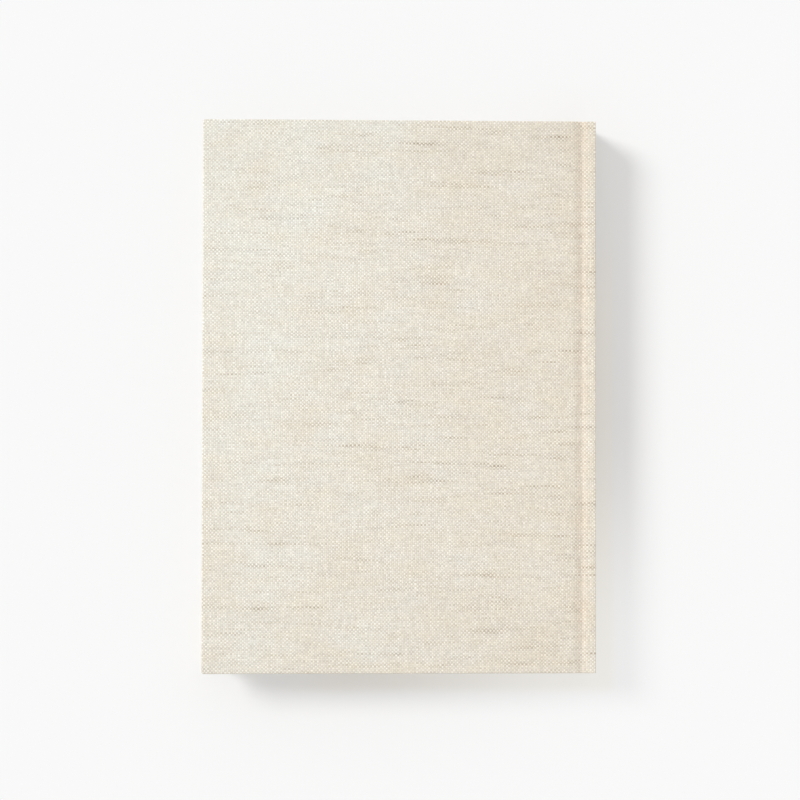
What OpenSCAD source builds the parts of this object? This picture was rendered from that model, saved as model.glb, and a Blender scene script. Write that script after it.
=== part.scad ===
// Case-bound guest book, closed and lying on its front cover.
// +X runs to the spine, +Y to the head, +Z up; the underside lies on z = 0.
// Sizes are in millimetres.

/* [Pages] */
// Width of a leaf from its fold to the fore-edge
leaf_w = 175; // [120:1:230]
// Height of a leaf from tail to head
leaf_h = 250; // [160:1:320]
// Thickness of a text leaf
leaf_t = 0.14; // [0.08:0.01:0.25]
// Folded sheets nested in one section
sheets_per_section = 4; // [2:1:6]
// Air between two nested sheets
sheet_air = 0.01; // [0.01:0.01:0.05]
// Air between two sections, and between a section and a flyleaf
section_air = 0.05; // [0.02:0.01:0.2]
// Thickness of an endpaper
end_t = 0.18; // [0.12:0.01:0.3]

/* [Case] */
// Thickness of the cover boards and of the spine board
board_t = 2.5; // [1.5:0.1:4]
// Thickness of the linen book cloth
cloth_t = 0.45; // [0.2:0.05:0.8]
// Overhang of the boards past the leaves at head, tail and fore-edge
square_w = 3; // [2:0.5:6]
// Width of the cloth turned in over the inside of the boards
turn_in = 15; // [8:1:25]
// Air between a closed cover and its flyleaf
cover_air = 0.1; // [0.05:0.05:0.5]

/* [Joint] */
// Distance from a board's spine edge to the back of the pages
joint_w = 7.2; // [5:0.1:12]
// Share of the joint's width where the cloth falls from the board
fall_share = 0.6; // [0.4:0.05:0.8]
// Depth of the pressed groove below the cover
groove_d = 1.3; // [0.6:0.1:2]
// Step from the cover's face down to the spine's shoulder
lip_drop = 0.2; // [0.1:0.05:0.6]
// Reach of the spine's shoulder over the back of the pages
lip_in = 0.1; // [0:0.05:1]
// Outer radius of the spine's long edges
spine_round = 1.8; // [0.8:0.1:3]
// Steps along each slope of the groove
groove_steps = 10; // [4:1:24]

/* [Sewing and lining] */
// Thickness of the sewing thread
thread_t = 0.18; // [0.1:0.02:0.4]
// Air around the thread
thread_air = 0.01; // [0.005:0.005:0.05]
// Width of the kerfs that let the thread through the folds
kerf_w = 0.4; // [0.2:0.05:1]
// Distance of the end stitches from head and tail
kettle_in = 10; // [6:1:25]
// Tapes that the sections are sewn on
tape_count = 3; // [2:1:5]
// Distance of the end tapes from head and tail
tape_in = 53; // [25:1:80]
// Width of a tape
tape_w = 12; // [6:1:20]
// Thickness of a tape
tape_t = 0.2; // [0.1:0.05:0.5]
// Thickness of the mull
mull_t = 0.2; // [0.1:0.05:0.4]
// Width of the mull on each board
flange_w = 25; // [12:1:40]
// Thickness of the paper lining
lining_t = 0.17; // [0.1:0.01:0.4]
// Distance of the lining from head and tail
lining_in = 9; // [4:1:20]
// Air in the hollow, between the lining and the cloth turned in behind it
hollow_air = 0.15; // [0.05:0.05:2]

/* [Headbands] */
// Radius of the bead
bead_r = 0.75; // [0.5:0.05:1.2]
// Height of the band's tape on the back of the pages
band_h = 6.5; // [4:0.5:8]
// Thickness of the band's tape
band_t = 0.2; // [0.1:0.05:0.4]

/* [Node] */
// Piece that is drawn

/* [Hidden] */
$fn = 32;

// Sections in the book, and those that stay with the spine when it opens
section_count = 12;
fixed_sections = 6;
// Steps around a fold and around the spine's long edges
fold_steps = 4;
round_steps = 6;
// Overshoot of a cut past the face it leaves through
past = 1;

// Folds: nested half rounds about one line, with room for the thread inside
core_r = thread_t / 2 + thread_air;
sheet_pitch = leaf_t + sheet_air;
fold_r = core_r + sheets_per_section * sheet_pitch - sheet_air;
section_t = 2 * fold_r;
section_pitch = section_t + section_air;
block_t = section_count * section_pitch - section_air;

// Levels from the underside up to the first section
z_turn = cloth_t + board_t;
z_paste = z_turn + cloth_t;
z_fly = z_paste + end_t + cover_air;
z_block = z_fly + end_t + section_air;
book_t = 2 * z_block + block_t;

// Plan sizes
board_h = leaf_h + 2 * square_w;
case_h = board_h + 2 * cloth_t;
x_tape = tape_t + sheet_air;
x_mull = x_tape + thread_t;
x_lining = x_mull + mull_t;
x_hollow = x_lining + lining_t;
back_t = x_hollow + hollow_air + 2 * cloth_t + board_t;
case_w = cloth_t + square_w + leaf_w + back_t;
x_out = case_w / 2;
x_back = x_out - back_t;
x_leaf = x_back - leaf_w;
x_board_0 = cloth_t - case_w / 2;
x_board_1 = x_back - joint_w;
x_spine_0 = x_out - cloth_t - board_t;
x_lip = x_back - lip_in;
x_groove = x_board_1 + joint_w * fall_share;

// Window inside the turned-in cloth
win_x = x_board_0 + turn_in;
win_y = board_h / 2 - turn_in;
flange_y = win_y - cloth_t;
x_flange = x_board_1 - flange_w;

// Sewing stations along the fold
kettle_y = leaf_h / 2 - kettle_in;
tape_pitch = (leaf_h - 2 * tape_in) / (tape_count - 1);
tape_ys = [for (i = [0 : tape_count - 1]) tape_in - leaf_h / 2 + i * tape_pitch];
tape_side = tape_w / 2 + kerf_w;
stations = concat([-kettle_y], [for (y = tape_ys, s = [-1, 1]) y + s * tape_side], [kettle_y]);
x_fold = x_back - fold_r;
x_run = x_fold - thread_t - thread_air;

// Colours
linen = [0.90, 0.87, 0.80];
grey = [0.62, 0.60, 0.56];
ivory = [0.96, 0.94, 0.89];
cream = [0.94, 0.91, 0.84];
gauze = [0.93, 0.92, 0.88];
kraft = [0.72, 0.58, 0.42];
cotton = [0.95, 0.94, 0.91];

function section_z(i) = z_block + fold_r + i * section_pitch;
function ease(t) = (1 - cos(180 * t)) / 2;
function arc(x, z, r, a0, a1, steps) =
  [for (i = [0 : steps]) let (a = a0 + (a1 - a0) * i / steps) [x + r * cos(a), z + r * sin(a)]];
function groove_z(x) =
  x < x_groove
  ? book_t - groove_d * ease((x - x_board_1) / (x_groove - x_board_1))
  : book_t - groove_d + (groove_d - lip_drop) * ease((x - x_groove) / (x_lip - x_groove));
function reversed(p) = [for (i = [len(p) - 1 : -1 : 0]) p[i]];

// Right-angled block from x0 to x1 and z0 to z1, reaching y to both sides
module slab(x0, x1, y, z0, z1) {
  translate([x0, -y, z0])
    cube([x1 - x0, 2 * y, z1 - z0]);
}

// Outline in x and z, drawn out along Y between y0 and y1
module along_y(y0, y1, points) {
  translate([0, y1, 0])
    rotate([90, 0, 0])
      linear_extrude(height = y1 - y0)
        polygon(points);
}

// The front half is the back half turned upside down
module under() {
  translate([0, 0, book_t])
    mirror([0, 0, 1])
      children();
}

// Linen over the outside and round three edges of a board, turned in inside
module cover_cloth() {
  color(linen)
    difference() {
      slab(-case_w / 2, x_board_1, case_h / 2, book_t - z_paste, book_t);
      slab(x_board_0, x_board_1 + past, board_h / 2, book_t - z_turn, book_t - cloth_t);
      slab(win_x, x_board_1 + past, win_y, book_t - z_paste - past, book_t - z_turn + past);
    }
}

module board() {
  color(grey)
    slab(x_board_0, x_board_1, board_h / 2, book_t - z_turn, book_t - cloth_t);
}

// Edge of the mull that ties the pages to the board
module mull_flange() {
  color(gauze)
    slab(x_flange, x_board_1, flange_y, book_t - z_turn - mull_t, book_t - z_turn);
}

// Endpaper pasted inside a board: it steps over the turned-in cloth and the mull
module pastedown() {
  z_face = book_t - z_paste - end_t;
  z_board = book_t - z_turn;
  color(ivory)
    difference() {
      slab(x_leaf, x_board_1, leaf_h / 2, z_face, z_board);
      difference() {
        slab(x_leaf - past, x_board_1 + past, leaf_h / 2 + past, z_face + end_t, z_board + past);
        slab(win_x, x_board_1 + 2 * past, win_y, z_face, z_board + 2 * past);
      }
      slab(x_flange, x_board_1 + past, win_y, z_board - mull_t, z_board + past);
      slab(win_x + end_t, x_flange - end_t, win_y - end_t, z_face - past, z_board - end_t);
      slab(x_flange - end_t - past, x_board_1 + past, win_y - end_t, z_face - past, z_board - mull_t - end_t);
    }
}

// Cloth pressed into the groove between board and spine
module joint_cloth() {
  falls = [for (i = [0 : groove_steps]) x_board_1 + (x_groove - x_board_1) * i / groove_steps];
  rises = [for (i = [1 : groove_steps]) x_groove + (x_lip - x_groove) * i / groove_steps];
  top = [for (x = concat(falls, rises)) [x, groove_z(x)]];
  low = [for (p = top) [p[0], p[1] - cloth_t]];
  color(linen)
    along_y(-case_h / 2, case_h / 2, concat(top, reversed(low)));
}

// Folded middle of an endpaper, from the pasted half to the flyleaf's fold
module endpaper_hinge() {
  z_from = book_t - z_turn - mull_t;
  z_to = book_t - z_fly + section_air + end_t;
  top = [[x_board_1, z_from], [x_back, z_to]];
  low = [[x_back, z_to - end_t], [x_board_1, z_from - end_t]];
  color(ivory)
    along_y(-leaf_h / 2, leaf_h / 2, concat(top, low));
}

module flyleaf() {
  color(ivory)
    slab(x_leaf, x_back, leaf_h / 2, book_t - z_fly - end_t, book_t - z_fly);
}

// Cross-section of the spine from x0 outwards, sunk by inset below its skin
function spine_outline(x0, inset) = concat(
  [[x0, book_t - lip_drop - inset]],
  arc(x_out - spine_round, book_t - lip_drop - spine_round, spine_round - inset, 90, 0, round_steps),
  arc(x_out - spine_round, lip_drop + spine_round, spine_round - inset, 0, -90, round_steps),
  [[x0, lip_drop + inset]]
);

module spine_board() {
  color(grey)
    along_y(-board_h / 2, board_h / 2, spine_outline(x_spine_0, cloth_t));
}

// Linen over the spine board, turned in at head and tail
module spine_cloth() {
  skin = concat(spine_outline(x_lip, 0), reversed(spine_outline(x_lip, cloth_t)));
  color(linen)
    union() {
      along_y(-case_h / 2, case_h / 2, skin);
      for (s = [0, 1])
        mirror([0, s, 0]) {
          along_y(board_h / 2, case_h / 2, spine_outline(x_spine_0 - cloth_t, 0));
          translate([x_spine_0 - cloth_t, board_h / 2 - turn_in, lip_drop + cloth_t])
            cube([cloth_t, turn_in + cloth_t, book_t - 2 * (lip_drop + cloth_t)]);
        }
    }
}

module spine_mull() {
  color(gauze)
    slab(x_back + x_mull, x_back + x_lining, flange_y, z_block, z_block + block_t);
}

module spine_lining() {
  color(kraft)
    slab(x_back + x_lining, x_back + x_hollow, leaf_h / 2 - lining_in, z_block, z_block + block_t);
}

module sewing_tapes() {
  color(cotton)
    for (y = tape_ys)
      translate([x_back + sheet_air, y - tape_w / 2, z_block])
        cube([tape_t, tape_w, block_t]);
}

// Thread from x0 to x1, y0 to y1, at the height of a section's middle
module thread_bar(i, x0, x1, y0, y1) {
  translate([x0, y0, section_z(i) - thread_t / 2])
    cube([x1 - x0, y1 - y0, thread_t]);
}

// Runs inside a fold, each with two legs that leave through the kerfs
module inner_thread(i, x_end) {
  for (k = [0 : 2 : len(stations) - 2])
    union() {
      thread_bar(i, x_run, x_run + thread_t, stations[k] - thread_t / 2, stations[k + 1] + thread_t / 2);
      for (y = [stations[k], stations[k + 1]])
        thread_bar(i, x_run, x_end, y - thread_t / 2, y + thread_t / 2);
    }
}

// Stitches over the tapes; a stitch of a turning section stops at its fold
module outer_thread(i, x_end) {
  for (y = tape_ys)
    union() {
      thread_bar(i, x_back + x_tape, x_back + x_mull, y - tape_side - thread_t / 2, y + tape_side + thread_t / 2);
      for (s = [-1, 1])
        thread_bar(i, x_end, x_back + x_mull, y + s * tape_side - thread_t / 2, y + s * tape_side + thread_t / 2);
    }
}

module sewing_thread() {
  color(cotton)
    union() {
      for (i = [0 : fixed_sections - 1]) {
        inner_thread(i, x_back + x_mull);
        outer_thread(i, x_back);
      }
      for (i = [fixed_sections : section_count - 1])
        outer_thread(i, x_back + sheet_air);
      for (y = [-kettle_y, kettle_y])
        translate([x_back + x_tape, y - thread_t / 2, section_z(0) - thread_t / 2])
          cube([thread_t, thread_t, (section_count - 1) * section_pitch + thread_t]);
    }
}

module section_thread(i) {
  color(cotton)
    inner_thread(i, x_back - sheet_air);
}

// Woven band with a bead over the ends of the folds
module end_band() {
  y_bead = leaf_h / 2 + bead_r + sheet_air;
  color(cotton)
    union() {
      translate([x_back - bead_r / 2, y_bead, z_block])
        cylinder(r = bead_r, h = block_t);
      translate([x_back + sheet_air, y_bead - band_h, z_block])
        cube([band_t, band_h, block_t]);
    }
}

// Outline of one folded sheet, k sheets in from the outside of section i
function sheet_outline(i, k) =
  let (outer = fold_r - k * sheet_pitch, inner = outer - leaf_t, z = section_z(i))
  concat(
    [[x_leaf, z - outer]],
    arc(x_fold, z, outer, -90, 90, fold_steps),
    [[x_leaf, z + outer], [x_leaf, z + inner]],
    arc(x_fold, z, inner, 90, -90, fold_steps),
    [[x_leaf, z - inner]]
  );

module section(i) {
  color(cream)
    for (k = [0 : sheets_per_section - 1])
      difference() {
        along_y(-leaf_h / 2, leaf_h / 2, sheet_outline(i, k));
        for (y = stations)
          translate([x_fold, y - kerf_w / 2, section_z(i) - section_t])
            cube([fold_r + past, kerf_w, 2 * section_t]);
      }
}

cover_cloth();  // back_cover_cloth
board();  // back_board
mull_flange();  // back_mull_flange
pastedown();  // back_pastedown
joint_cloth();  // back_joint_cloth
endpaper_hinge();  // back_endpaper_hinge
flyleaf();  // back_flyleaf
under() cover_cloth();  // front_cover_cloth
under() board();  // front_board
under() mull_flange();  // front_mull_flange
under() pastedown();  // front_pastedown
under() joint_cloth();  // front_joint_cloth
under() endpaper_hinge();  // front_endpaper_hinge
under() flyleaf();  // front_flyleaf
spine_board();
spine_cloth();
spine_mull();
spine_lining();
sewing_tapes();
sewing_thread();
end_band();  // head_band
mirror([0, 1, 0]) end_band();  // tail_band
section(0);  // section_01
section(1);  // section_02
section(2);  // section_03
section(3);  // section_04
section(4);  // section_05
section(5);  // section_06
section(6);  // section_07
section(7);  // section_08
section(8);  // section_09
section(9);  // section_10
section(10);  // section_11
section(11);  // section_12
section_thread(6);  // thread_07
section_thread(7);  // thread_08
section_thread(8);  // thread_09
section_thread(9);  // thread_10
section_thread(10);  // thread_11
section_thread(11);  // thread_12
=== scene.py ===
import math
from collections import namedtuple

import bmesh
import bpy
import numpy as np
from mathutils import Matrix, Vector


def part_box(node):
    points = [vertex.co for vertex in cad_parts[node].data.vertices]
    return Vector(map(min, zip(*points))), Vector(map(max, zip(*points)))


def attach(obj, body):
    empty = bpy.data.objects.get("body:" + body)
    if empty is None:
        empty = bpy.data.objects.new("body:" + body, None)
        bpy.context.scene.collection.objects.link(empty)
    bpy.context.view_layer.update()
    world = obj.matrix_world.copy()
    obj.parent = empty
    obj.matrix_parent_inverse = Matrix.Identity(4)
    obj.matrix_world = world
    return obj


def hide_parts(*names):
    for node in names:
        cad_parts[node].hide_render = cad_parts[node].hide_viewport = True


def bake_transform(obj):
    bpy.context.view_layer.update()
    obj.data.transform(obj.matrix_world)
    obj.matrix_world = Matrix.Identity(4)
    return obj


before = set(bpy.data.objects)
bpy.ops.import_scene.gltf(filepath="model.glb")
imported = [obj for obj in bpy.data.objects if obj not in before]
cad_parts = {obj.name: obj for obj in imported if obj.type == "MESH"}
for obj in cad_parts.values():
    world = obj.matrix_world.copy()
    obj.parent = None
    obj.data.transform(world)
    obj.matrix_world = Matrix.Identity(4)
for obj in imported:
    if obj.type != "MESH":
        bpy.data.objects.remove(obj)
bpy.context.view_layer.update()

# A linen-covered guest book, closed and lying on its front cover. Lengths are in
# millimetres until a mesh is made; x runs to the spine, y to the head and z up.
MM = 0.001


# Sizes

def corners(node):
    """Lowest and highest corner of a node of the solid model, in millimetres."""
    return tuple(np.array(corner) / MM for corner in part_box(node))


CASE_LOW, CASE_HIGH = corners("back_cover_cloth")
BOARD_LOW, BOARD_HIGH = corners("back_board")
PASTE_LOW, PASTE_HIGH = corners("back_pastedown")
FLY_LOW, FLY_HIGH = corners("back_flyleaf")
BAND_LOW, BAND_HIGH = corners("head_band")
LEAF_LOW, LEAF_HIGH = corners("section_01")
JOINT_HIGH = corners("back_joint_cloth")[1]
SPINE_HIGH = corners("spine_cloth")[1]
SPINE_BOARD_LOW = corners("spine_board")[0]
FLANGE_LOW = corners("back_mull_flange")[0]
GUTTER_LOW = corners("back_endpaper_hinge")[0]

# Case: outside, board edge and the cloth folded over it
BOOK_T = CASE_HIGH[2]
CLOTH_T = BOOK_T - BOARD_HIGH[2]
COVER_T = BOOK_T - CASE_LOW[2]
X_FORE = CASE_LOW[0]
X_BOARD = CASE_HIGH[0]
X_LIP = JOINT_HIGH[0]
X_OUT = SPINE_HIGH[0]
CASE_W = X_OUT - X_FORE
Y_CASE = CASE_HIGH[1]
TURN_IN = 15.0
EDGE_R = 0.6
FOLD_R = 0.43
CORNER_R = 1.3
# The modelled cloth is thinner than the solid one by a hair of room for paste
PASTE_ROOM = 0.02
SKIN_T = CLOTH_T - PASTE_ROOM

# Spine: how far its linen stands above the solid cloth, and its round corners
SPINE_LIFT = 0.15
SPINE_TOP = SPINE_HIGH[2] + SPINE_LIFT
SPINE_R = 0.92
SPINE_POWER = 6
# Cloth folded in at a corner stops short of the corner's centre by this much
CORE_GAP = 0.05
# The back's even points start this far from the round corners
BACK_INSET = 3.0
# Tilt of the spine's shoulder where it leaves the groove and where it meets the round
SHOULDER_TILT = np.radians([9.0, -2.0])
# Distance from the spine's outer face at which the shoulder begins to level out
RIDGE_IN = 2.1
# Groove: its depth, and its slopes at distances from the spine's outer face
GROOVE_D = 0.93
FALL = ((11.2, 0.0), (9.1, 0.9), (7.2, 1.0), (6.6, 0.8), (6.2, 0.0))
RISE = ((6.2, 0.0), (5.6, 0.9), (5.2, 1.0), (4.8, 0.8), (4.4, 0.6))

# Pages
SECTIONS = 12
FIXED_SECTIONS = 6
SHEETS = 4
SHEET_PITCH = 0.15
SHEET_GAP = 0.01
LEAF_T = 0.115
X_LEAF = LEAF_LOW[0]
X_BACK = LEAF_HIGH[0]
Y_LEAF = LEAF_HIGH[1]
END_T = FLY_HIGH[2] - FLY_LOW[2]
FOLD_OUTER = (LEAF_HIGH[2] - LEAF_LOW[2]) / 2
X_FOLD = X_BACK - FOLD_OUTER
# The most that the knife takes from a leaf's edge
TRIM = 0.06
TRIM_SEED = 7
# Where a leaf bends, measured from the back of the pages, and how much further its fine steps go
LEAF_BEND = (0.3, 9.0)
BEND_MARGIN = 0.5
# A pastedown's step over the cloth or the mull beneath it: its softness and its fine points' reach
STEP_SOFT = 0.35
STEP_REACH = 1.2

# Sewing and headbands
THREAD_R = 0.09
STITCH_TURN = 3 * THREAD_R
STITCHES = [(-115.0, -78.4), (-65.6, -6.4), (6.4, 65.6), (78.4, 115.0)]
BAND_PITCH = 1.1
BAND_GAP = 0.01
BAND_SWELL = 0.07
BAND_TAPE_T = 0.19

# Samples of the surfaces
ARC_STEPS = 6
CORNER_STEPS = 6
FOLD_STEPS = 8
SPINE_STEPS = 14
LIP_POINTS = 5
SHOULDER_POINTS = 13
BACK_POINTS = 9
GROOVE_STEPS = 48
LEAF_STEPS = 10
BEND_STEPS = 64
FIXED_STEPS = 4
STEP_POINTS = 13
SHEET_POINTS = 9
THREAD_SIDES = 8
BAND_SIDES = 20
BAND_POINTS = 140
TAPE_POINTS = 12
COVER_GRID = (36, 52)
PAPER_GRID = (90, 120)
WELD = 2e-6
SHARP = math.radians(50)
FLAT_MAP = "flat"


# Meshes

# One smooth part of a sheet: its points, their normals out of the sheet, their places on the flat
# sheet, the sides where the sheet ends, and whether its quads are turned over
Patch = namedtuple("Patch", "points normals flat rims flip")
ROWS_START, ROWS_END, COLS_START, COLS_END = (0, 0), (0, -1), (1, 0), (1, -1)
ALL_RIMS = [ROWS_START, ROWS_END, COLS_START, COLS_END]


def grid_of(*parts):
    """A grid of points or normals from its coordinates, each spread over the whole grid."""
    return np.stack(np.broadcast_arrays(*parts), -1)


def running_length(x, z):
    """Length along a line of points, from its first point."""
    return np.concatenate([[0], np.cumsum(np.hypot(np.diff(x), np.diff(z)))])


def under(patch):
    """The same patch in the front half of the case: its height mirrored in the book's middle."""
    turn = np.array([1.0, 1.0, -1.0])
    lift = np.array([0.0, 0.0, BOOK_T])
    flat = patch.flat * np.array([-1.0, 1.0])
    return Patch(patch.points * turn + lift, patch.normals * turn, flat, patch.rims, not patch.flip)


def tailward(patch):
    """The same patch at the other end of the book: its y mirrored."""
    turn = np.array([1.0, -1.0, 1.0])
    flat = patch.flat * np.array([1.0, -1.0])
    return Patch(patch.points * turn, patch.normals * turn, flat, patch.rims, not patch.flip)


def sheet_grids(patch, thickness):
    """A sheet's faces: the patch, the patch sunk along its normals, and a rim on each side where it ends."""
    inner = patch.points - thickness * patch.normals
    grids = [(patch.points, patch.flat, patch.flip), (inner, patch.flat, not patch.flip)]
    for axis, end in patch.rims:
        outer_line = np.take(patch.points, [end], axis)
        inner_line = np.take(inner, [end], axis)
        flat_line = np.take(patch.flat, [end], axis)
        pair = (inner_line, outer_line) if end == 0 else (outer_line, inner_line)
        flat_pair = (flat_line, flat_line)
        grids.append((np.concatenate(pair, axis), np.concatenate(flat_pair, axis), patch.flip))
    return grids


def mesh_piece(name, grids, finish):
    """One object from grids of points: quads between neighbours, welded where grids meet."""
    points, flats, quads, count = [], [], [], 0
    for grid, flat, flip in grids:
        rows, cols = grid.shape[:2]
        index = count + np.arange(rows * cols).reshape(rows, cols)
        quad = np.stack([index[:-1, :-1], index[1:, :-1], index[1:, 1:], index[:-1, 1:]], -1)
        quad = quad.reshape(-1, 4)
        quads.append(quad[:, ::-1] if flip else quad)
        points.append(grid.reshape(-1, 3))
        flats.append(flat.reshape(-1, 2))
        count += rows * cols
    points, flats, quads = np.concatenate(points), np.concatenate(flats), np.concatenate(quads)
    mesh = bpy.data.meshes.new(name)
    mesh.vertices.add(len(points))
    mesh.vertices.foreach_set("co", (points * MM).astype(np.float32).ravel())
    mesh.loops.add(quads.size)
    mesh.loops.foreach_set("vertex_index", quads.astype(np.int32).ravel())
    mesh.polygons.add(len(quads))
    mesh.polygons.foreach_set("loop_start", np.arange(0, quads.size, 4, dtype=np.int32))
    mesh.update(calc_edges=True)
    layer = mesh.uv_layers.new(name=FLAT_MAP)
    layer.uv.foreach_set("vector", (flats[quads.ravel()] * MM).astype(np.float32).ravel())
    work = bmesh.new()
    work.from_mesh(mesh)
    bmesh.ops.remove_doubles(work, verts=work.verts, dist=WELD)
    bmesh.ops.dissolve_degenerate(work, edges=work.edges, dist=WELD)
    work.to_mesh(mesh)
    work.free()
    mesh.validate()
    mesh.shade_smooth()
    mesh.set_sharp_from_angle(angle=SHARP)
    mesh.materials.append(finish)
    piece = bpy.data.objects.new(name, mesh)
    bpy.context.scene.collection.objects.link(piece)
    return piece


def sheet_piece(name, patches, thickness, finish):
    """One sheet of cloth or paper from patches that meet along their sides."""
    return mesh_piece(name, [g for p in patches for g in sheet_grids(p, thickness)], finish)


def tube_grids(path, radius, sides, up):
    """A closed tube: a ring about each point of a path, square to it, and a fan at each end."""
    path = np.asarray(path, float)
    ahead = np.gradient(path, axis=0)
    ahead /= np.linalg.norm(ahead, axis=1, keepdims=True)
    side = np.cross(ahead, up)
    side /= np.linalg.norm(side, axis=1, keepdims=True)
    over = np.cross(side, ahead)
    turn = np.linspace(0, 2 * np.pi, sides + 1)
    radius = np.broadcast_to(radius, len(path))[:, None, None]
    ring = np.cos(turn)[None, :, None] * side[:, None] + np.sin(turn)[None, :, None] * over[:, None]
    wall = path[:, None] + radius * ring
    caps = [np.broadcast_to(end[None], wall[:1].shape) for end in (path[:1], path[-1:])]
    wall = np.concatenate([caps[0], wall, caps[1]])
    length = np.concatenate([[0], np.cumsum(np.linalg.norm(np.diff(path, axis=0), axis=1))])
    length = np.concatenate([length[:1], length, length[-1:]])
    return [(wall, grid_of(length[:, None], turn[None] * radius.max()), False)]


def skin_area(patches):
    """Flat area of a sheet in square metres: half the cross product of each quad's diagonals, summed."""
    total = 0.0
    for patch in patches:
        one = patch.points[1:, 1:] - patch.points[:-1, :-1]
        two = patch.points[1:, :-1] - patch.points[:-1, 1:]
        total += np.linalg.norm(np.cross(one, two), axis=-1).sum() / 2
    return total * MM * MM


# Finishes

class Value:
    """A socket whose number varies over a surface: operators on it add Math nodes."""

    def __init__(self, finish, socket):
        self.finish = finish
        self.socket = socket

    def math(self, operation, *operands):
        return self.finish.node("ShaderNodeMath", {"operation": operation}, dict(enumerate(operands)))

    def __add__(self, other):
        return self.math("ADD", self, other)

    def __radd__(self, other):
        return self.math("ADD", other, self)

    def __sub__(self, other):
        return self.math("SUBTRACT", self, other)

    def __rsub__(self, other):
        return self.math("SUBTRACT", other, self)

    def __mul__(self, other):
        return self.math("MULTIPLY", self, other)

    def __truediv__(self, other):
        return self.math("DIVIDE", self, other)

    def floor(self):
        return self.math("FLOOR", self)

    def cos(self):
        return self.math("COSINE", self)

    def root(self):
        return self.math("SQRT", self.highest(0.0))

    def size(self):
        return self.math("ABSOLUTE", self)

    def highest(self, other):
        return self.math("MAXIMUM", self, other)

    def ease(self, low, high):
        """0 below low, 1 above high, with a smooth step between."""
        return self.finish.node("ShaderNodeMapRange", {"interpolation_type": "SMOOTHSTEP"},
                                {"Value": self, "From Min": low, "From Max": high})


class Finish:
    """The nodes of one material, or of the world, made one by one."""

    def __init__(self, name, kind=bpy.data.materials):
        self.owner = kind.new(name)
        self.owner.use_nodes = True
        self.tree = self.owner.node_tree
        self.tree.nodes.clear()

    def node(self, kind, settings=None, sockets=None, output=0):
        """Adds a node: its settings, then the values or links of its sockets; gives one output."""
        node = self.tree.nodes.new(kind)
        for name, setting in (settings or {}).items():
            setattr(node, name, setting)
        for key, value in (sockets or {}).items():
            if isinstance(value, Value):
                self.tree.links.new(value.socket, node.inputs[key])
            else:
                node.inputs[key].default_value = value
        return Value(self, node.outputs[output]) if node.outputs else None

    def flat(self):
        return self.node("ShaderNodeUVMap", {"uv_map": FLAT_MAP})

    def place(self):
        return self.node("ShaderNodeTexCoord", output="Object")

    def part(self, vector, axis):
        return self.node("ShaderNodeSeparateXYZ", sockets={"Vector": vector}, output=axis)

    def vector(self, x, y, z=0.0):
        return self.node("ShaderNodeCombineXYZ", sockets={"X": x, "Y": y, "Z": z})

    def stretch(self, vector, factors):
        return self.node("ShaderNodeVectorMath", {"operation": "MULTIPLY"}, {0: vector, 1: factors})

    def noise(self, vector, scale=1.0, detail=2.0, roughness=0.5):
        return self.node("ShaderNodeTexNoise", {"noise_dimensions": "3D"},
                         {"Vector": vector, "Scale": scale, "Detail": detail, "Roughness": roughness})

    def waves(self, vector, factors, detail=2.0, roughness=0.5):
        """Noise with its own number of waves per metre along each axis."""
        return self.noise(self.stretch(vector, factors), 1.0, detail, roughness)

    def mix(self, factor, one, two):
        return self.node("ShaderNodeMix", {"data_type": "RGBA"}, {"Factor": factor, 6: one, 7: two}, 2)

    def dim(self, colour, factor):
        return self.node("ShaderNodeVectorMath", {"operation": "SCALE"}, {"Vector": colour, "Scale": factor})

    def stain(self, colour, amount, weights):
        """The colour times one plus the amount, which each channel takes by its own weight."""
        colour = colour if isinstance(colour, Value) else colour[:3]
        return self.stretch(colour, self.vector(*(1.0 + amount * weight for weight in weights)))

    def seen(self):
        """1 for rays that the camera sends, straight or through gloss and glass."""
        kinds = ("Camera", "Glossy", "Transmission")
        rays = [self.node("ShaderNodeLightPath", output=f"Is {kind} Ray") for kind in kinds]
        return rays[0].highest(rays[1]).highest(rays[2])

    def join(self, share, one, two):
        return self.node("ShaderNodeMixShader", sockets={"Fac": share, 1: one, 2: two})

    def bump(self, height, distance, strength):
        sockets = {"Height": height, "Distance": distance, "Strength": strength}
        return self.node("ShaderNodeBump", sockets=sockets)

    def done(self, **sockets):
        """Ends the material in one shader; a socket's spaces are written as underscores."""
        named = {key.replace("_", " "): value for key, value in sockets.items()}
        shader = self.node("ShaderNodeBsdfPrincipled", sockets=named)
        self.node("ShaderNodeOutputMaterial", sockets={"Surface": shader})
        return self.owner


# Linen: a pale warp along the spine and a flax weft across it. Its lengths are metres on the flat
# cloth, and its waves are waves per metre.
WARP_PITCH = 0.000887
WEFT_PITCH = 0.000861
WARP = (0.860, 0.819, 0.729, 1.0)
WEFT = (0.744, 0.684, 0.575, 1.0)
FLAX = (0.52, 0.435, 0.32, 1.0)
BROWN = (0.25, 0.18, 0.115, 1.0)
# Threads drift and wobble from their even places: waves across and along them, and size in pitches
DRIFT_ACROSS, DRIFT_ALONG, DRIFT = 190.0, 90.0, 1.3
WOBBLE_ACROSS, WOBBLE_ALONG = 620.0, 55.0
WARP_WOBBLE, WEFT_WOBBLE = 0.65, 0.45
# Tone along a thread: waves, the step that makes neighbours unlike, and the swing
WARP_WAVES, WEFT_WAVES = 110.0, 80.0
TONE_STEP = 7.3
WARP_SWING, WEFT_SWING = 0.35, 0.43
# Streaks: clusters of weft threads, single strands and their share
CLUSTER_WAVES = (27.0, 270.0, 0.0)
STRAND_WAVES, STRAND_STEP, STRAND_LAYER, STRAND_SHARE = 45.0, 5.3, 4.0, 0.36
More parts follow.
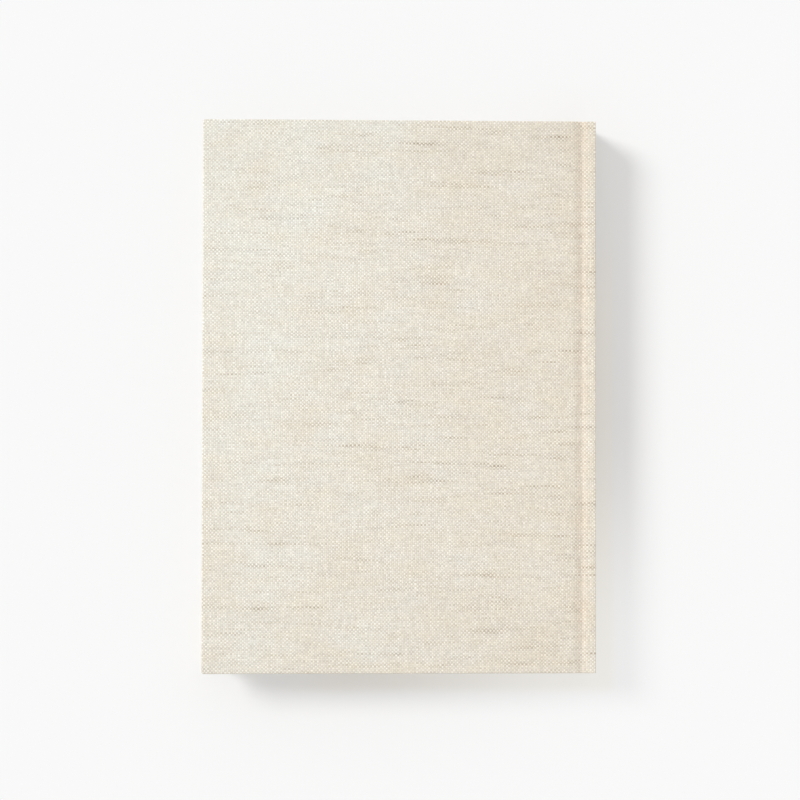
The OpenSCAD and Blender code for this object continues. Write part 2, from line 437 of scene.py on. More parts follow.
# Where a streak turns to flax and to a brown slub, how much at the spine, and how much less at the fore-edge
FLAX_FROM, FLAX_SHARE, FLAX_LOSS = (0.505, 0.65), 0.70, 0.19
SLUB_FROM, SLUB_SHARE, SLUB_LOSS = (0.60, 0.70), 0.57, 0.16
# Half width of a thread in pitches: at its thinnest, what its tone adds and what a slub adds
THREAD_THIN, THREAD_SWELL, SLUB_SWELL = 0.42, 0.14, 0.12
# Fibres in a thread: waves across, along and aslant, the step between threads, and the height
FIBRE_ACROSS, FIBRE_ALONG, FIBRE_SLANT, FIBRE_STEP = 7500.0, 1300.0, 2400.0, 3.7
FIBRE_HEIGHT, SLUB_HEIGHT = 0.9, 0.35
OVERLAP = (-0.1, 0.1)
# Painted shade and light by height: darkest in the gaps, lighter up the threads' flanks and lightest on their
# crowns
GAP_SHADE = 0.72
FLANK, FLANK_SHADE = (-0.1, 0.42), 0.22
CROWN, CROWN_SHADE = (0.3, 1.0), 0.14
# Painted shade: the cloth is a little darker towards head and tail, where the light falls off, from this
# share of the way
HEAD_TAIL_SHADE_FROM, HEAD_TAIL_PAINTED_SHADE = 0.5, 0.02
# Swings of tone: from crossing to crossing, in flecks and in fibres
CELL_SWING, FLECK_SWING, FIBRE_SWING = 0.15, 0.20, 0.20
FLECK_WAVES = 2400.0
# Broad patches of tone and of warmth
CLOUD_WAVES, CLOUD_SWING = 32.0, 0.13
WARMTH_WAVES, WARMTH_SWING = (45.0, 130.0, 0.0), 0.10
# How much a change of tone acts on red, green and blue: flax darkens towards brown
FLAX_WEIGHTS = (0.76, 1.0, 1.28)
# The same for broad patches, and for a change of warmth alone
PATCH_WEIGHTS = (0.40, 1.0, 1.65)
WARM_WEIGHTS = (0.5, 0.0, -1.0)
# Painted light across the cover: the cloth's tone at the spine, darker and warmer, and at the fore-edge,
# paler and cooler
SPINE_PAINTED_SHADE = (0.964, 0.942, 0.922, 1.0)
FORE_PAINTED_LIGHT = (1.027, 1.064, 1.090, 1.0)
# Share of that painted light halfway up the book, and what it gains per metre towards the head
PAINTED_LIGHT_MIDDLE = 0.714
PAINTED_LIGHT_RISE = 2.0
# Painted shade in the groove: the cloth's tone there, darker and warmer, and where it starts and ends on the
# flat cloth
GROOVE_PAINTED_SHADE = (0.990, 0.945, 0.912, 1.0)
GROOVE_SHADE_REACH = ((0.0146, 0.0182), (0.0192, 0.0240))
WEAVE_RELIEF = 0.00016


def half_round(side, half_width):
    """Height of a round thread at a distance to the side of its middle line: 1 there, 0 at its half width."""
    return (1.0 - (side / half_width) * (side / half_width)).root()


def linen_finish():
    """Plain weave: each thread is a half round that dives under its neighbours in turn, by a cosine.

    Threads drift, swell and change tone along their length, and the weft carries streaks of flax
    and a few brown slubs.
    """
    f = Finish("linen_cloth")
    flat = f.flat()
    u, v = f.part(flat, "X"), f.part(flat, "Y")
    warp = u / WARP_PITCH + f.waves(flat, (DRIFT_ACROSS, DRIFT_ALONG, 0.0), 3.0) * DRIFT
    weft = v / WEFT_PITCH + f.waves(flat, (DRIFT_ALONG, DRIFT_ACROSS, 0.0), 3.0) * DRIFT
    warp = warp + f.waves(flat, (WOBBLE_ACROSS, WOBBLE_ALONG, 0.0), 1.0) * WARP_WOBBLE
    weft = weft + f.waves(flat, (WOBBLE_ALONG, WOBBLE_ACROSS, 0.0), 1.0) * WEFT_WOBBLE
    warp_at, weft_at = warp.floor(), weft.floor()
    warp_side, weft_side = warp - warp_at - 0.5, weft - weft_at - 0.5
    warp_sign, weft_sign = (warp_at * math.pi).cos(), (weft_at * math.pi).cos()

    # Tone and streaks
    warp_tone = f.noise(f.vector(warp_at * TONE_STEP, v * WARP_WAVES), 1.0, 3.0, 0.6)
    weft_tone = f.noise(f.vector(u * WEFT_WAVES, weft_at * TONE_STEP), 1.0, 3.0, 0.6)
    cluster = f.waves(flat, CLUSTER_WAVES, 3.0, 0.6)
    strand = f.noise(f.vector(u * STRAND_WAVES, weft_at * STRAND_STEP, STRAND_LAYER), 1.0, 3.0, 0.6)
    streak = strand * STRAND_SHARE + cluster * (1.0 - STRAND_SHARE)
    slub = streak.ease(*SLUB_FROM)

    # Height
    warp_round = half_round(warp_side, THREAD_THIN + warp_tone * THREAD_SWELL)
    weft_round = half_round(weft_side, THREAD_THIN + weft_tone * THREAD_SWELL + slub * SLUB_SWELL)
    warp_twist = f.vector(u * FIBRE_ACROSS + v * FIBRE_SLANT, v * FIBRE_ALONG, warp_at * FIBRE_STEP)
    weft_twist = f.vector(u * FIBRE_ALONG, v * FIBRE_ACROSS - u * FIBRE_SLANT, weft_at * FIBRE_STEP)
    warp_fibre, weft_fibre = (f.noise(twist, roughness=0.6) for twist in (warp_twist, weft_twist))
    warp_dive = warp_sign * ((weft - 0.5) * math.pi).cos()
    weft_dive = weft_sign * ((warp - 0.5) * math.pi).cos()
    warp_height = warp_round * 0.5 + warp_dive * 0.5 + (warp_fibre - 0.5) * FIBRE_HEIGHT
    weft_height = weft_round * 0.5 - weft_dive * 0.5 + (weft_fibre - 0.5) * FIBRE_HEIGHT
    weft_height = weft_height + slub * SLUB_HEIGHT
    height = warp_height.highest(weft_height)
    weft_shows = (weft_height - warp_height).ease(*OVERLAP)

    # Colour, with painted light across the cover and painted shade in the groove
    # Painted light: a sweep from the spine to the fore-edge, along which the cloth is painted paler and
    # cooler
    painted_light_sweep = u.size().ease(0.0, CASE_W * MM)
    weft_colour = f.stain(WEFT, (weft_tone - 0.5) * WEFT_SWING, FLAX_WEIGHTS)
    weft_colour = f.mix(streak.ease(*FLAX_FROM) * (FLAX_SHARE - painted_light_sweep * FLAX_LOSS), weft_colour, FLAX)
    weft_colour = f.mix(slub * (SLUB_SHARE - painted_light_sweep * SLUB_LOSS), weft_colour, BROWN)
    warp_colour = f.stain(WARP, (warp_tone - 0.5) * WARP_SWING, FLAX_WEIGHTS)
    cloth = f.mix(weft_shows, warp_colour, weft_colour)
    # Painted shade: a mask over the cloth that lies in the groove
    groove_shade_mask = u.size().ease(*GROOVE_SHADE_REACH[0]) - u.size().ease(*GROOVE_SHADE_REACH[1])
    # Painted light from spine to fore-edge, stronger towards the head, then painted shade in the groove
    painted_light_and_shade = f.mix(painted_light_sweep * (PAINTED_LIGHT_MIDDLE + v * PAINTED_LIGHT_RISE), SPINE_PAINTED_SHADE, FORE_PAINTED_LIGHT)
    painted_light_and_shade = f.mix(groove_shade_mask, painted_light_and_shade, GROOVE_PAINTED_SHADE)
    cloud = f.noise(flat, CLOUD_WAVES, 3.0)
    warmth = f.waves(flat, WARMTH_WAVES, 3.0, 0.6)
    cloth = f.stain(f.stretch(cloth, painted_light_and_shade), (cloud - 0.5) * CLOUD_SWING, PATCH_WEIGHTS)
    cloth = f.stain(cloth, (warmth - 0.5) * WARMTH_SWING, WARM_WEIGHTS)

    # Shade: painted shade by height and towards head and tail, and random swings of tone
    crossing = f.vector(warp_at, weft_at)
    cell = f.node("ShaderNodeTexWhiteNoise", {"noise_dimensions": "2D"}, {"Vector": crossing})
    fleck = f.noise(flat, FLECK_WAVES)
    fibre = warp_fibre + (weft_fibre - warp_fibre) * weft_shows
    # Painted shade towards head and tail
    head_tail_shade = v.size().ease(HEAD_TAIL_SHADE_FROM * Y_CASE * MM, Y_CASE * MM)
    # Painted shade of the weave by height: dark in the gaps between threads, light on their crowns
    shade = GAP_SHADE + height.ease(*FLANK) * FLANK_SHADE + height.ease(*CROWN) * CROWN_SHADE
    shade = shade - head_tail_shade * HEAD_TAIL_PAINTED_SHADE
    for change, swing in ((cell, CELL_SWING), (fleck, FLECK_SWING), (fibre, FIBRE_SWING)):
        shade = shade + (change - 0.5) * swing
    return f.done(Base_Color=f.dim(cloth, shade), Roughness=0.88, Normal=f.bump(height, WEAVE_RELIEF, 0.8),
                  Specular_IOR_Level=0.2, Sheen_Weight=0.08, Sheen_Roughness=0.5)


# Paper: waves per metre of its clouds, tooth and fibres, where a fibre shows, and what each adds
PAPER_CLOUD_WAVES = 60.0
PAPER_TOOTH_WAVES = 2600.0
PAPER_FIBRE_WAVES = (700.0, 3200.0, 0.0)
PAPER_FIBRE_FROM = (0.66, 0.80)
PAPER_SHADE, PAPER_CLOUD_SWING, PAPER_TOOTH_SWING = 0.975, 0.03, 0.02
PAPER_FIBRE_HEIGHT = 0.4
PAPER_RELIEF = 0.00003
PAPER_ROUGH, PAPER_ROUGH_SWING = 0.82, 0.1
TEXT_PAPER = (0.80, 0.765, 0.682, 1.0)
TEXT_FLECK = (0.72, 0.67, 0.57, 1.0)
END_PAPER = (0.80, 0.765, 0.675, 1.0)
END_FLECK = (0.66, 0.60, 0.49, 1.0)


def paper_finish(name, colour, fleck, grain):
    """Paper: a cloudy tone and fine fibres, which are noise drawn out along the sheet, as tint and bump."""
    f = Finish(name)
    flat = f.flat()
    cloud = f.noise(flat, PAPER_CLOUD_WAVES, 3.0)
    tooth = f.noise(flat, PAPER_TOOTH_WAVES, 3.0, 0.6)
    fibre = f.waves(flat, PAPER_FIBRE_WAVES).ease(*PAPER_FIBRE_FROM)
    tone = f.mix(fibre * grain, colour, fleck)
    tone = f.dim(tone, PAPER_SHADE + cloud * PAPER_CLOUD_SWING + tooth * PAPER_TOOTH_SWING)
    normal = f.bump(tooth + fibre * PAPER_FIBRE_HEIGHT, PAPER_RELIEF, 0.5)
    rough = PAPER_ROUGH + tooth * PAPER_ROUGH_SWING
    return f.done(Base_Color=tone, Roughness=rough, Normal=normal, Specular_IOR_Level=0.25)


# Pulp: waves per metre of its mottle and chips, where a chip shows, and what each adds
MOTTLE_WAVES = 240.0
CHIP_WAVES = (500.0, 1400.0, 500.0)
CHIP_FROM = (0.60, 0.72)
CHIP_SHARE, CHIP_HEIGHT = 0.5, 0.5
PULP_SHADE, MOTTLE_SWING = 0.82, 0.36
PULP_RELIEF = 0.00008
GREYBOARD = (0.34, 0.31, 0.27, 1.0)
GREYBOARD_CHIP = (0.50, 0.47, 0.42, 1.0)
KRAFT = (0.46, 0.29, 0.15, 1.0)
KRAFT_CHIP = (0.58, 0.41, 0.25, 1.0)


def board_finish(name, colour, fleck):
    """Pulp board and kraft paper: a mottled tone with paler chips, from two noises."""
    f = Finish(name)
    place = f.place()
    mottle = f.noise(place, MOTTLE_WAVES, 4.0, 0.65)
    chip = f.waves(place, CHIP_WAVES).ease(*CHIP_FROM)
    tone = f.mix(chip * CHIP_SHARE, colour, fleck)
    tone = f.dim(tone, PULP_SHADE + mottle * MOTTLE_SWING)
    normal = f.bump(mottle + chip * CHIP_HEIGHT, PULP_RELIEF, 0.6)
    return f.done(Base_Color=tone, Roughness=0.9, Normal=normal, Specular_IOR_Level=0.15)


# Plain weaves inside the book: the height at which a thread's own colour shows over the painted shade of the
# hollows, the swing of tone with its waves per metre, and the relief as a share of the pitch
WOVEN_FROM = (0.35, 0.85)
WOVEN_SHADE, WOVEN_SWING, WOVEN_WAVES = 0.95, 0.1, 900.0
WOVEN_RELIEF = 0.25
GAUZE = (0.80, 0.77, 0.69, 1.0)
GAUZE_GAP_SHADE = (0.52, 0.48, 0.41, 1.0)
TAPE = (0.82, 0.80, 0.74, 1.0)
TAPE_GAP_SHADE = (0.62, 0.59, 0.52, 1.0)
TWINE = (0.80, 0.75, 0.65, 1.0)
TWINE_GAP_SHADE = (0.55, 0.48, 0.38, 1.0)


def woven_finish(name, colour, hollow_shade, pitch, dive):
    """Gauze, tape and thread: round ridges every pitch along y and along x plus z, the higher showing."""
    f = Finish(name)
    place = f.place()
    along = f.part(place, "Y") / pitch
    across = (f.part(place, "X") + f.part(place, "Z")) / pitch
    ridges = [((line - line.floor() - 0.5) * math.pi).cos() for line in (along, across)]
    height = ridges[0].highest(ridges[1] * dive)
    # Painted shade: the darker colour shows in the hollows between the ridges
    tone = f.mix(height.ease(*WOVEN_FROM), hollow_shade, colour)
    tone = f.dim(tone, WOVEN_SHADE + f.noise(place, WOVEN_WAVES) * WOVEN_SWING)
    normal = f.bump(height, pitch * WOVEN_RELIEF, 0.7)
    return f.done(Base_Color=tone, Roughness=0.9, Normal=normal, Specular_IOR_Level=0.15)


# Headband: its two creams, the soft change between them, its painted shade between the ridges of the wraps,
# and its strands
BAND_PALE = (0.83, 0.80, 0.72, 1.0)
BAND_DEEP = (0.60, 0.51, 0.38, 1.0)
BAND_CHANGE = (-0.2, 0.2)
BAND_SHADE, BAND_RIDGE_SHADE = 0.78, 0.22
BAND_STRAND_WAVES = (300.0, 300.0, 5200.0)
BAND_RIDGE_HEIGHT = 0.4
BAND_RELIEF = 0.00006


def band_finish():
    """Silk headband: two cream tones in turn along z, one wrap each, with a thread's ridge in every wrap."""
    f = Finish("headband")
    place = f.place()
    wrap = f.part(place, "Z") / (BAND_PITCH * MM)
    at = wrap.floor()
    ridge = ((wrap - at - 0.5) * math.pi).cos()
    dark = (at * math.pi).cos().ease(*BAND_CHANGE)
    tone = f.mix(dark, BAND_PALE, BAND_DEEP)
    # Painted shade: darker between the ridges of the wraps
    tone = f.dim(tone, BAND_SHADE + ridge * BAND_RIDGE_SHADE)
    strand = f.waves(place, BAND_STRAND_WAVES)
    normal = f.bump(ridge * BAND_RIDGE_HEIGHT + strand, BAND_RELIEF, 0.5)
    return f.done(Base_Color=tone, Roughness=0.55, Normal=normal, Sheen_Weight=0.2)


linen = linen_finish()
text_paper = paper_finish("text_paper", TEXT_PAPER, TEXT_FLECK, grain=0.25)
end_paper = paper_finish("endpaper", END_PAPER, END_FLECK, grain=0.5)
greyboard = board_finish("greyboard", GREYBOARD, GREYBOARD_CHIP)
kraft = board_finish("kraft_lining", KRAFT, KRAFT_CHIP)
gauze = woven_finish("mull_gauze", GAUZE, GAUZE_GAP_SHADE, pitch=0.0011, dive=0.95)
tape = woven_finish("cotton_tape", TAPE, TAPE_GAP_SHADE, pitch=0.0006, dive=0.9)
twine = woven_finish("linen_thread", TWINE, TWINE_GAP_SHADE, pitch=0.0003, dive=0.9)
silk = band_finish()


# Case

def edge_path(radius, depth, inset, reach):
    """Cloth over an edge: flat to the edge, a quarter round, down, a quarter round, and back inside.

    Gives the distance past the edge, the depth, the normal's turn and the length at each point.
    """
    turn = np.linspace(0, np.pi / 2, ARC_STEPS + 1)
    low_turn = turn + np.pi / 2
    out = np.concatenate([[-inset], radius * (np.sin(turn) - 1), radius * (np.sin(low_turn) - 1), [-reach]])
    low_down = depth - radius * (1 + np.cos(low_turn))
    down = np.concatenate([[0], radius * (1 - np.cos(turn)), low_down, [depth]])
    tilt = np.concatenate([[0], turn, low_turn, [np.pi]])
    return out, down, tilt, running_length(out, down)


def strip(x, y, down, tilt, phi, flat_x, flat_y, rims, flip):
    """Cloth along an edge: heights fall by the path's depth, and normals lean out along phi by its tilt."""
    points = grid_of(x, y, BOOK_T - down)
    lean = grid_of(-np.sin(tilt) * np.cos(phi), np.sin(tilt) * np.sin(phi), np.cos(tilt) + 0 * phi)
    return Patch(points, np.broadcast_to(lean, points.shape), grid_of(flat_x, flat_y), rims, flip)


def cover_patches(flat_start):
    """Linen on a board: a flat panel, and three strips that follow the edge path round board and corner.

    A corner's points lie on arcs about its centre, from each edge to the mitre halfway.
    """
    path = edge_path(EDGE_R, COVER_T, CORNER_R, TURN_IN + CLOTH_T)
    out, down, tilt, length = (a[:, None] for a in path)
    inset, arc = np.maximum(CORNER_R, -out), np.maximum(CORNER_R + out, 0)
    bend = np.linspace(0, np.pi / 4, CORNER_STEPS + 1)
    cols, rows = np.linspace(1, 0, COVER_GRID[0]), np.linspace(-1, 1, COVER_GRID[1])
    width = X_BOARD - X_FORE

    panel_x = (X_BOARD - cols * (width - CORNER_R))[:, None]
    panel_y = (rows * (Y_CASE - CORNER_R))[None]
    level = np.zeros_like(panel_y)
    panel = strip(panel_x, panel_y, level, level, level, flat_start + X_BOARD - panel_x, panel_y,
                  [ROWS_END], False)

    phi = np.concatenate([-bend[:0:-1], 0 * rows, bend[1:]])[None]
    along = np.concatenate([-np.ones(CORNER_STEPS), rows, np.ones(CORNER_STEPS)])[None]
    straight = along * (Y_CASE - inset)
    fore = strip(X_FORE + inset - arc * np.cos(phi), straight + arc * np.sin(phi), down, tilt, phi,
                 flat_start + width - CORNER_R + length, straight + arc * phi,
                 [ROWS_END], True)

    phi = np.concatenate([np.pi / 2 - bend[:0:-1], 0 * cols + np.pi / 2])[None]
    along = np.concatenate([np.ones(CORNER_STEPS), cols])[None]
    straight = along * (width - inset)
    head = strip(X_BOARD - straight - arc * np.cos(phi), Y_CASE - inset + arc * np.sin(phi), down, tilt, phi,
                 flat_start + straight + arc * (np.pi / 2 - phi), Y_CASE - CORNER_R + length,
                 [ROWS_END, COLS_END], True)
    return [panel, fore, head, tailward(head)]


def folded_ends(across, rise, lean, depth, flat_across):
    """Cloth with a given section, drawn along y and folded in at head and tail.

    Past each end the cloth turns through a half round into its own depth and runs back inside.
    """
    turn = np.linspace(0, np.pi / 2, ARC_STEPS + 1)
    end_tilt = np.concatenate([turn, turn + np.pi / 2, [np.pi]])
    end_back = np.concatenate([0 * turn, 0 * turn, [1.0]])
    flats = np.linspace(-1, 1, COVER_GRID[1])[1:-1]
    none, level = 0 * end_tilt, 0 * flats
    sigma = np.concatenate([none - 1, level, none + 1])[None]
    tilt = np.concatenate([end_tilt[::-1], level, end_tilt])[None]
    back = np.concatenate([end_back[::-1], level, end_back])[None]
    along = np.concatenate([none, flats, none])[None]
    depth = depth[:, None]
    y_end = Y_CASE - FOLD_R * (1 - np.sin(tilt)) - back * (TURN_IN - FOLD_R)
    y = np.where(sigma == 0, along * (Y_CASE - FOLD_R), sigma * y_end) + 0 * depth
    sunk = np.where(tilt <= np.pi / 2, FOLD_R * (1 - np.cos(tilt)), depth - FOLD_R * (1 + np.cos(tilt)))
    lean_x, lean_z = lean[:, :1], lean[:, 1:]
    points = grid_of(across[:, None] - sunk * lean_x, y, rise[:, None] - sunk * lean_z)
    normals = grid_of(np.cos(tilt) * lean_x, sigma * np.sin(tilt), np.cos(tilt) * lean_z)
    path = FOLD_R * tilt + np.where(tilt > np.pi / 2, depth - 2 * FOLD_R, 0) + back * (TURN_IN - FOLD_R)
    flat_y = np.where(sigma == 0, y, sigma * (Y_CASE - FOLD_R + path))
    return Patch(points, normals, grid_of(flat_across[:, None], flat_y), ALL_RIMS, False)


def spine_patch():
    """Linen on the spine: a shoulder that levels out to a round corner, the back, and the same below.

    The corner is a quarter of a squared circle: its two sides' sixth powers add up to its radius's.
    The ends are folded in over the spine board, so their depth grows from the corner's thickness
    to the board's.
    """
    turn = np.linspace(0, np.pi / 2, SPINE_STEPS + 1)
    round_r = SPINE_R / (np.sin(turn) ** SPINE_POWER + np.cos(turn) ** SPINE_POWER) ** (1 / SPINE_POWER)
    cap = X_OUT - (SPINE_BOARD_LOW[0] - CLOTH_T)
    x_cap, x_arc, core = X_OUT - cap, X_OUT - SPINE_R, SPINE_R - CORE_GAP
    top, bottom = SPINE_TOP - SPINE_R, BOOK_T - SPINE_TOP + SPINE_R
    arc_x, arc_z = x_arc + round_r * np.sin(turn), top + round_r * np.cos(turn)

    lip = np.linspace(X_LIP, x_cap, LIP_POINTS)
    crown = np.linspace(x_cap, arc_x[0], SHOULDER_POINTS)[:-1]
    shoulder = np.concatenate([lip, crown])
    tilt = np.interp(shoulder, [X_OUT - RIDGE_IN, arc_x[0]], SHOULDER_TILT)
    slope = np.tan(np.append(tilt, SHOULDER_TILT[1]))
    climb = (slope[1:] + slope[:-1]) / 2 * np.diff(np.append(shoulder, arc_x[0]))
    shoulder_z = arc_z[0] - np.cumsum(climb[::-1])[::-1]
    shoulder_depth = np.concatenate([0 * lip + 2 * FOLD_R, np.minimum(core + x_arc - crown, cap)])

    even = np.linspace(top - BACK_INSET, bottom + BACK_INSET, BACK_POINTS)
    back = np.concatenate([[top - (cap - core)], even, [bottom + cap - core]])
    x = np.concatenate([shoulder, arc_x, 0 * back + X_OUT, arc_x[::-1], shoulder[::-1]])
    z = np.concatenate([shoulder_z, arc_z, back, BOOK_T - arc_z[::-1], BOOK_T - shoulder_z[::-1]])
    lean = np.concatenate([-tilt, turn, 0 * back + np.pi / 2, np.pi - turn[::-1], np.pi + tilt[::-1]])
    arc_depth = 0 * turn + core
    depth = np.concatenate([shoulder_depth, arc_depth, 0 * back + cap, arc_depth, shoulder_depth[::-1]])
    length = running_length(x, z)
    half = length[-1] / 2
    patch = folded_ends(x, z, np.stack([np.sin(lean), np.cos(lean)], -1), depth, half - length)
    return patch, half, shoulder_z[0]


def joint_patch(flat_start, lip_z):
    """Linen in the groove: a running sum of its slope, down from the board and up to the spine."""
    x = np.linspace(X_BOARD, X_LIP, GROOVE_STEPS + 1)
    step = x[1] - x[0]
    away = X_OUT - (x[1:] + x[:-1]) / 2
    fall, rise = (np.interp(-away, [-p[0] for p in line], [p[1] for p in line]) for line in (FALL, RISE))
    fall *= GROOVE_D / (fall.sum() * step)
    rise *= (GROOVE_D - (BOOK_T - lip_z)) / (rise.sum() * step)
    z = BOOK_T + np.concatenate([[0], np.cumsum((rise - fall) * step)])
    lean = np.stack([-np.gradient(z, x), np.ones_like(x)], -1)
    lean[0] = (0.0, 1.0)
    lean /= np.linalg.norm(lean, axis=1, keepdims=True)
    lean[-1] = (-np.sin(SHOULDER_TILT[0]), np.cos(SHOULDER_TILT[0]))
    length = running_length(x, z)
    return folded_ends(x, z, lean, 0 * x + 2 * FOLD_R, flat_start + length[-1] - length), length[-1]


# Paper

def plane_patch(x, y, z):
    """Paper over a grid in x and y, with the given height at each point of its face towards the pages."""
    points = grid_of(x, y, z)
    normals = np.broadcast_to(np.array([0.0, 0.0, -1.0]), points.shape)
    return Patch(points, normals, points[..., :2], ALL_RIMS, True)


def step_up(distance):
    """A soft step from 0 to 1 where the distance passes zero."""
    return 0.5 + 0.5 * np.tanh(distance / STEP_SOFT)


def pastedown_patch():
    """Endpaper pasted in a board.

    It lies on the turned-in cloth round three sides, drops to the board, and rises over the mull.
    """
    window_x = BOARD_LOW[0] + TURN_IN
    window_y = BOARD_HIGH[1] - TURN_IN
    near = np.linspace(-STEP_REACH, STEP_REACH, STEP_POINTS)
    even_x = np.linspace(X_LEAF, X_BOARD, PAPER_GRID[0])
    even_y = np.linspace(-Y_LEAF, Y_LEAF, PAPER_GRID[1])
    x = np.sort(np.concatenate([even_x, window_x + near, FLANGE_LOW[0] + near]))[:, None]
    y = np.sort(np.concatenate([even_y, window_y + near, -window_y - near]))[None]
    inside = step_up(x - window_x) * step_up(window_y - np.abs(y))
    board = PASTE_HIGH[2] - END_T
    mull = FLANGE_LOW[2] - END_T
    centre = board + (mull - board) * step_up(x - FLANGE_LOW[0])
    return plane_patch(x, y, PASTE_LOW[2] + (centre - PASTE_LOW[2]) * inside)


def gutter_patch():
    """Folded middle of an endpaper: a straight strip from the board's edge to the back of the pages."""
    x = np.linspace(X_BOARD, X_BACK, GROOVE_STEPS + 1)[:, None]
    y = np.linspace(-Y_LEAF, Y_LEAF, PAPER_GRID[1])[None]
    share = (x - X_BOARD) / (X_BACK - X_BOARD)
    start = FLANGE_LOW[2] - END_T
    return plane_patch(x, y, start + (GUTTER_LOW[2] - start) * share)


def leaf_run(steps):
    """Places along a leaf from the fore-edge to the fold, with the given steps where it bends."""
    x_bend = X_BACK - LEAF_BEND[1] - BEND_MARGIN
    stiff = np.linspace(X_LEAF, x_bend, LEAF_STEPS)[:-1]
    return np.concatenate([stiff, np.linspace(x_bend, X_FOLD, steps + 1)])


def flyleaf_patch():
    """Free half of an endpaper: a flat sheet from the fore-edge to the back of the pages."""
    x = np.concatenate([leaf_run(BEND_STEPS), [X_BACK]])[:, None]
    y = np.linspace(-Y_LEAF, Y_LEAF, SHEET_POINTS)[None]
    return plane_patch(x, y, FLY_LOW[2])


def folded_sheet(middle, radius, trims, steps):
    """One folded sheet: along a leaf, a half round about the fold's line, and back along the other leaf."""
    run = leaf_run(steps)
    low_run = run + np.linspace(trims[0], 0, len(run))
    high_run = run + np.linspace(trims[1], 0, len(run))
    turn = np.linspace(-np.pi / 2, np.pi / 2, FOLD_STEPS + 1)[1:-1]
    x = np.concatenate([low_run, X_FOLD + radius * np.cos(turn), high_run[::-1]])[:, None]
    z = middle + np.concatenate([0 * run - radius, radius * np.sin(turn), 0 * run + radius])[:, None]
    lean_x = np.concatenate([0 * run, np.cos(turn), 0 * run])[:, None]
    lean_z = np.concatenate([0 * run - 1, np.sin(turn), 0 * run + 1])[:, None]
    y = np.linspace(-Y_LEAF + trims[2], Y_LEAF - trims[3], SHEET_POINTS)[None]
    length = running_length(x[:, 0], z[:, 0])[:, None]
    return Patch(grid_of(x, y, z), grid_of(lean_x, 0 * y, lean_z), grid_of(length, y), ALL_RIMS, True)


def section_patches(middle, rng, steps):
    """Sheets nested in one section, each one pitch further in, their trimmed edges a hair apart."""
    radii = FOLD_OUTER - SHEET_PITCH * np.arange(SHEETS) - SHEET_GAP
    return [folded_sheet(middle, radius, rng.uniform(0, TRIM, 4), steps) for radius in radii]


def stitch_grids(middle):
    """Sewing inside a fold: each stitch comes in through the fold, runs along it and goes out again."""
    x_in = [X_BACK - THREAD_R, X_FOLD + STITCH_TURN, X_FOLD, X_FOLD - THREAD_R]
    y_in = STITCH_TURN * np.array([0.0, 0.0, 0.5, 2.0])
    x = x_in + x_in[::-1]
    grids = []
    for start, end in STITCHES:
        y = np.concatenate([start + y_in, end - y_in[::-1]])
        path = grid_of(x, y, middle)
        grids += tube_grids(path, THREAD_R, THREAD_SIDES, (0.0, 0.0, 1.0))
    return grids


def band_grids(sign):
    """Headband: a bead along z whose radius swells once in every wrap, and the flat tape behind it."""
    low, high = BAND_LOW[2], BAND_HIGH[2]
    z = np.linspace(low, high, BAND_POINTS)
    bead = (BAND_HIGH[1] - Y_LEAF - BAND_GAP) / 2
    wrap = np.abs(np.cos(np.pi * (z / BAND_PITCH - 0.5)))
    radius = bead * (1 - BAND_SWELL + BAND_SWELL * np.sqrt(wrap))
    x_bead, y_bead = X_BACK - bead / 2, Y_LEAF + BAND_GAP + bead
    grids = tube_grids(grid_of(x_bead, sign * y_bead, z), radius, BAND_SIDES, (1.0, 0.0, 0.0))
    tape_y = np.linspace(BAND_LOW[1], y_bead, TAPE_POINTS)[:, None]
    tape_z = np.linspace(low, high, TAPE_POINTS)[None]
    points = grid_of(BAND_HIGH[0], sign * tape_y, tape_z)
    normals = np.broadcast_to(np.array([1.0, 0.0, 0.0]), points.shape)
    tape_patch = Patch(points, normals, points[..., 1:], ALL_RIMS, sign < 0)
    return grids + sheet_grids(tape_patch, BAND_TAPE_T)


# Pieces

HALVES = (("back", lambda patch: patch), ("front", under))
BLOCK = "book_block"


def stand_for(piece, slot, *nodes):
    """Hides these nodes, so that the piece shows in their place."""
    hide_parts(*nodes)
    return piece


def leaf_hinge(piece):
    """Bakes the piece's transform into its mesh."""
    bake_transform(piece)


def linen_piece(name, patches, node):
    """Linen that stands for one node."""
    return stand_for(sheet_piece(name, patches, SKIN_T, linen), "linen_cloth", node)


def cut_cloth(patches):
    flats = np.concatenate([patch.flat.reshape(-1, 2) for patch in patches])
    width, length = (flats.max(axis=0) - flats.min(axis=0)) * MM
    min(skin_area(patches), width * length)


spine, spine_half, lip_z = spine_patch()
spine_linen = linen_piece("spine_linen", [spine], "spine_cloth")
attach(spine_linen, BLOCK)
cut_cloth([spine])

for half, turned in HALVES:
    joint, joint_length = joint_patch(spine_half, lip_z)
    joint_linen = linen_piece(f"{half}_joint_linen", [turned(joint)], f"{half}_joint_cloth")
    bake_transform(joint_linen)
    cover = [turned(patch) for patch in cover_patches(spine_half + joint_length)]
    cover_linen = linen_piece(f"{half}_cover_linen", cover, f"{half}_cover_cloth")
    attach(cover_linen, f"{half}_cover")
    cut_cloth(cover)

    pastedown = sheet_piece(f"{half}_pastedown_paper", [turned(pastedown_patch())], END_T, end_paper)
    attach(stand_for(pastedown, "endpaper", f"{half}_pastedown"), f"{half}_cover")
    gutter = sheet_piece(f"{half}_gutter_paper", [turned(gutter_patch())], END_T, end_paper)
    stand_for(gutter, "endpaper", f"{half}_endpaper_hinge")
    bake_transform(gutter)
    flyleaf = sheet_piece(f"{half}_flyleaf_paper", [turned(flyleaf_patch())], END_T, end_paper)
    leaf_hinge(stand_for(flyleaf, "endpaper", f"{half}_flyleaf"))

